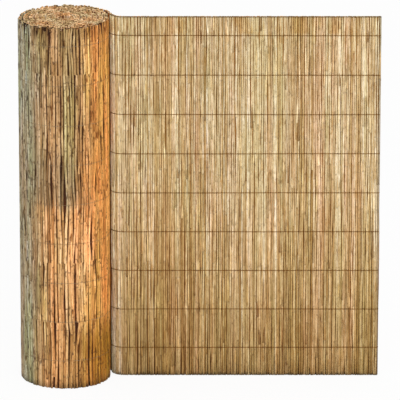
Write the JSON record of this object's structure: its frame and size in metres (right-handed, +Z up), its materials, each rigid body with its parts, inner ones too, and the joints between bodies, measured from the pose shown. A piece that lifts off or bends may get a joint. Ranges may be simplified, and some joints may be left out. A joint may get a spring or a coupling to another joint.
{
  "type": "reed screening roll",
  "caption": "Partly unrolled roll of garden reed screening: a mat of dried reeds bound by rows of wire, wound on itself and standing on its end, with a flat stretch let out to one side.",
  "frame": {"origin": "on the floor under the middle of the whole part's box, between the roll at -X and the free edge at +X", "axes": "+Z up along the reeds, +X along the unrolled stretch away from the roll, -Y towards the viewer of the picture"},
  "size_m": [1.4477, 0.3812, 1.5],
  "materials": {
    "dried_reed": "dry matt reed stems, weathered orange to grey-brown on the roll",
    "pale_reed": "dry matt reed stems, paler towards the top of the unrolled stretch",
    "annealed_wire": "dull dark annealed wire"
  },
  "bodies": {
    "root": {"rolled_reeds": "dried_reed", "unrolled_reeds": "pale_reed", "tie_wire_1": "annealed_wire", "tie_wire_2": "annealed_wire", "tie_wire_3": "annealed_wire", "tie_wire_4": "annealed_wire", "tie_wire_5": "annealed_wire", "tie_wire_6": "annealed_wire", "tie_wire_7": "annealed_wire", "tie_wire_8": "annealed_wire", "tie_wire_9": "annealed_wire"}
  },
  "joints": []
}
